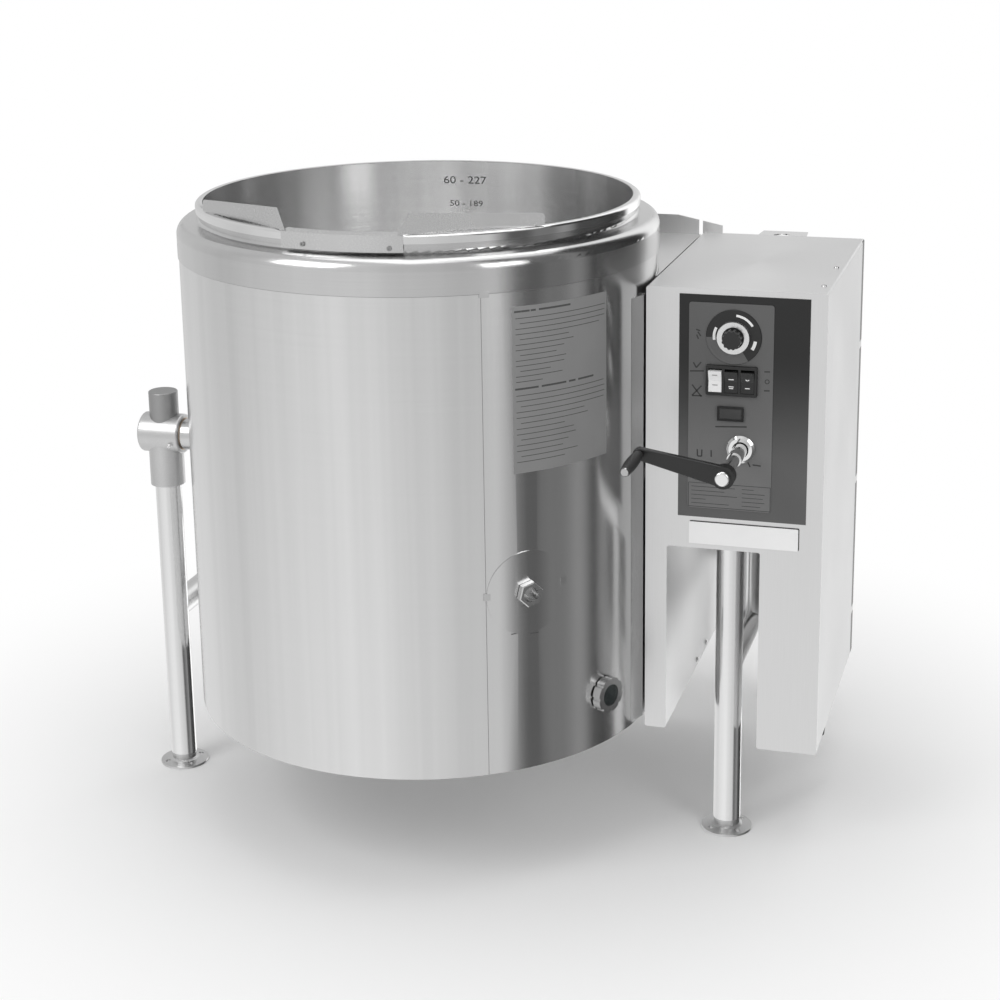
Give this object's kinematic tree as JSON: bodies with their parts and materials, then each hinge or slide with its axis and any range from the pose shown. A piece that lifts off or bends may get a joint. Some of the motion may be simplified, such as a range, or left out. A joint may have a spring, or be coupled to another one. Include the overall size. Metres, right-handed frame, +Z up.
{
  "type": "steam jacketed kettle",
  "caption": "Tilting steam jacketed kettle: insulated jacketed bowl on trunnions in a tubular stand, with a hand crank worm drive and a side control console.",
  "frame": {"origin": "on the floor, under the middle of the machine's bounding box", "axes": "+X along the trunnions towards the console, +Y to the back, +Z up"},
  "size_m": [1.278, 1.0412, 1.1642],
  "materials": {
    "stainless_tube": "polished stainless tube",
    "cast_steel": "satin cast stainless",
    "dark_steel": "dark satin steel",
    "bronze": "bearing bronze",
    "hard_steel": "ground steel",
    "bowl_steel": "polished stainless bowl",
    "jacket_steel": "mill finish stainless",
    "drum_steel": "vertical brushed stainless",
    "mineral_wool": "mineral wool blanket",
    "lip_steel": "brushed stainless sheet",
    "panel_steel": "fine satin stainless sheet",
    "chrome": "bright plated",
    "brass": "machined brass",
    "fitting_steel": "machined stainless",
    "heater_sheath": "alloy heater sheath",
    "glass": "clear gauge glass",
    "overlay_film": "graphite panel film",
    "faceplate_film": "grey printed film",
    "dial_print": "printed dial",
    "black_plastic": "moulded black plastic",
    "white_plastic": "moulded white plastic",
    "lamp_lens": "smoked lens"
  },
  "bodies": {
    "stand": {"front_left_leg": "stainless_tube", "front_right_leg": "stainless_tube", "rear_left_leg": "stainless_tube", "rear_right_leg": "stainless_tube", "left_side_tube": "stainless_tube", "right_side_tube": "stainless_tube", "rear_rail": "stainless_tube", "console_post": "stainless_tube", "front_left_foot": "cast_steel", "front_right_foot": "cast_steel", "rear_left_foot": "cast_steel", "rear_right_foot": "cast_steel", "left_trunnion_housing": "cast_steel", "right_bearing_block": "cast_steel", "worm_bracket": "cast_steel", "left_post_cap": "dark_steel", "left_bush": "bronze", "right_bush": "bronze", "console_case": "panel_steel", "console_rear_cover": "panel_steel", "faucet_bracket": "panel_steel", "crank_escutcheon": "chrome", "control_panel": "overlay_film", "control_faceplate": "faceplate_film", "dial_plate": "dial_print", "switch_frame": "black_plastic", "cable_gland": "black_plastic", "thermostat_body": "black_plastic", "indicator_lamp": "lamp_lens"},
    "kettle": {"inner_bowl": "bowl_steel", "rim_ring": "bowl_steel", "jacket_shell": "jacket_steel", "heating_elements": "heater_sheath", "left_trunnion": "cast_steel", "right_trunnion": "cast_steel", "worm_wheel": "bronze", "insulation": "mineral_wool", "drum_wrapper": "drum_steel", "shoulder_band": "drum_steel", "bottom_cover": "jacket_steel", "side_shroud": "panel_steel", "drum_edge_strip": "panel_steel", "port_cover_plate": "drum_steel", "jacket_port": "fitting_steel", "sight_glass_body": "fitting_steel", "sight_glass_lens": "glass", "relief_valve": "brass", "pressure_gauge": "fitting_steel", "pour_lip": "lip_steel"},
    "crank": {"crank_shaft": "chrome", "crank_arm": "black_plastic", "crank_cap": "chrome", "grip_pin": "hard_steel", "worm": "hard_steel"},
    "grip": {"crank_grip": "black_plastic"},
    "knob": {"thermostat_knob": "black_plastic"},
    "power_switch": {"power_rocker": "white_plastic"},
    "heat_switch": {"heat_rocker": "black_plastic"},
    "fill_switch": {"fill_rocker": "black_plastic"},
    "valve_lever": {"relief_lever": "brass"}
  },
  "joints": [
    {"name": "kettle_tilt", "type": "hinge", "parent": "stand", "child": "kettle", "pos_m": [-0.091, -0.11945, 0.665], "axis": [1, 0, 0], "range_deg": [0, 90]},
    {"name": "crank_turn", "type": "hinge", "parent": "stand", "child": "crank", "pos_m": [0.497, -0.16785, 0.727], "axis": [0, 1, 0], "range_deg": [0, 3240]},
    {"name": "grip_spin", "type": "hinge", "parent": "crank", "child": "grip", "pos_m": [0.3581, -0.36785, 0.75652], "axis": [0, -1, 0], "continuous": true},
    {"name": "knob_turn", "type": "hinge", "parent": "stand", "child": "knob", "pos_m": [0.482, -0.16785, 0.92], "axis": [0, 1, 0], "range_deg": [0, 300]},
    {"name": "power_rock", "type": "hinge", "parent": "stand", "child": "power_switch", "pos_m": [0.452, -0.16985, 0.845], "axis": [-1, 0, 0], "range_deg": [0, 16]},
    {"name": "heat_rock", "type": "hinge", "parent": "stand", "child": "heat_switch", "pos_m": [0.4795, -0.16985, 0.845], "axis": [-1, 0, 0], "range_deg": [0, 16]},
    {"name": "fill_rock", "type": "hinge", "parent": "stand", "child": "fill_switch", "pos_m": [0.507, -0.16985, 0.845], "axis": [-1, 0, 0], "range_deg": [0, 16]},
    {"name": "lever_lift", "type": "hinge", "parent": "kettle", "child": "valve_lever", "pos_m": [-0.16968, 0.34677, 0.91867], "axis": [0.9848, 0.1736, 0], "range_deg": [0, 35], "stiffness_Nm_per_rad": 0.2, "springref_deg": -11.46}
  ],
  "couplings": [
    {"joint": "crank_turn", "follows": "kettle_tilt", "ratio": 36}
  ]
}
